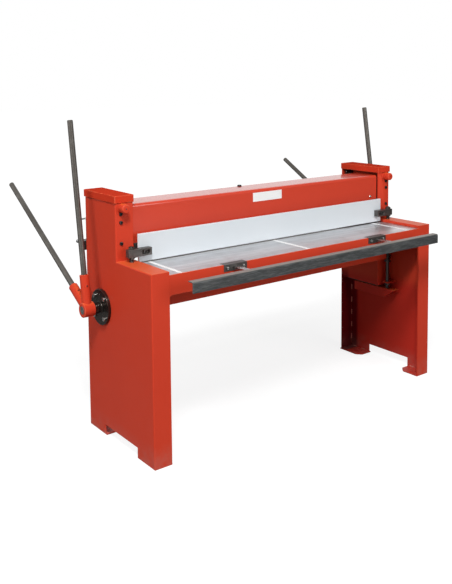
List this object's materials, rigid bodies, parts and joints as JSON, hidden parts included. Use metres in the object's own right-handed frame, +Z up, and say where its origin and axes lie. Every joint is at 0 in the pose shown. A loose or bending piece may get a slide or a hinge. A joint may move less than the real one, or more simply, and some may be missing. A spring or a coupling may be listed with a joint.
{
  "type": "sheet metal shear",
  "caption": "Hand lever shear for sheet metal on two stepped side frames, with a raked blade beam, a sprung hold-down plate, a sliding front bar, a back gauge and paired levers.",
  "frame": {"origin": "on the floor, under the middle of the whole machine's bounding box at rest", "axes": "+X along the blades towards the open end of the raked upper blade, +Y from the front bar towards the back gauge, +Z up"},
  "size_m": [1.674, 1.2084, 1.2314],
  "materials": {
    "paint": "gloss orange-red",
    "pale_paint": "satin pale grey",
    "table_steel": "ground",
    "bright_steel": "ground bright",
    "bar_steel": "dark rolled",
    "dark_steel": "dark oiled",
    "black_steel": "blackened",
    "lever_steel": "bare tube, handled",
    "bronze": "turned"
  },
  "bodies": {
    "frame": {"side_frame_left": "paint", "side_frame_right": "paint", "column_cap_left": "paint", "column_cap_right": "paint", "inner_plate_left": "paint", "inner_plate_right": "paint", "gib_left": "dark_steel", "gib_right": "dark_steel", "rear_guide_left": "dark_steel", "rear_guide_right": "dark_steel", "front_rail": "paint", "table_front_plate": "table_steel", "table_rear_plate": "table_steel", "blade_support_plate": "paint", "lower_blade": "bright_steel", "bearing_flange_left": "dark_steel", "bearing_flange_right": "dark_steel", "bearing_bush_left": "bronze", "bearing_bush_right": "bronze", "bar_block_left": "dark_steel", "bar_block_right": "dark_steel", "gauge_rod_left": "bright_steel", "gauge_rod_right": "bright_steel"},
    "lever_shaft": {"cross_shaft": "bright_steel", "crank_arm_left": "dark_steel", "crank_arm_right": "dark_steel", "crank_pin_left": "bright_steel", "crank_pin_right": "bright_steel", "lever_hub_left": "paint", "lever_hub_right": "paint", "upright_lever_left": "lever_steel", "upright_lever_right": "lever_steel", "rear_lever_left": "lever_steel", "rear_lever_right": "lever_steel"},
    "beam": {"blade_beam": "paint", "upper_blade": "bright_steel", "slide_plate_left": "dark_steel", "slide_plate_right": "dark_steel", "lifter_foot_left": "paint", "lifter_foot_right": "paint"},
    "hold_down": {"hold_down_plate": "pale_paint", "bracket_left": "dark_steel", "bracket_right": "dark_steel", "bracket_screw_left": "black_steel", "bracket_screw_right": "black_steel", "hold_down_rod_left": "dark_steel", "hold_down_rod_right": "dark_steel", "rod_nut_left": "black_steel", "rod_nut_right": "black_steel", "hold_down_spring_left": "black_steel", "hold_down_spring_right": "black_steel"},
    "front_bar": {"front_bar": "bar_steel", "front_bar_arm_left": "table_steel", "front_bar_arm_right": "table_steel"},
    "back_gauge": {"gauge_bar": "bar_steel", "gauge_block_left": "dark_steel", "gauge_block_right": "dark_steel"},
    "clamp_left": {"clamp_screw_left": "bright_steel"},
    "clamp_right": {"clamp_screw_right": "bright_steel"}
  },
  "joints": [
    {"name": "lever_swing", "type": "hinge", "parent": "frame", "child": "lever_shaft", "pos_m": [0, -0.12023, 0.512], "axis": [1, 0, 0], "range_deg": [0, 69]},
    {"name": "beam_slide", "type": "slide", "parent": "frame", "child": "beam", "axis": [0, 0, 1], "range_m": [-0.06004, 0]},
    {"name": "hold_down_slide", "type": "slide", "parent": "frame", "child": "hold_down", "axis": [0, 0, 1], "range_m": [-0.0045, 0], "deforming": ["hold_down_spring_left", "hold_down_spring_right"]},
    {"name": "front_bar_slide", "type": "slide", "parent": "frame", "child": "front_bar", "axis": [0, 1, 0], "range_m": [-0.05, 0.08]},
    {"name": "back_gauge_slide", "type": "slide", "parent": "frame", "child": "back_gauge", "axis": [0, 1, 0], "range_m": [-0.07, 0.045]},
    {"name": "clamp_turn_left", "type": "hinge", "parent": "back_gauge", "child": "clamp_left", "pos_m": [-0.7, 0.09477, 0.73], "axis": [0, 0, 1], "range_deg": [-90, 90]},
    {"name": "clamp_turn_right", "type": "hinge", "parent": "back_gauge", "child": "clamp_right", "pos_m": [0.7, 0.09477, 0.73], "axis": [0, 0, 1], "range_deg": [-90, 90]}
  ],
  "couplings": [
    {"joint": "beam_slide", "follows": "lever_swing", "m_per_rad": -0.049854},
    {"joint": "hold_down_slide", "follows": "lever_swing", "m_per_rad": -0.003737}
  ]
}
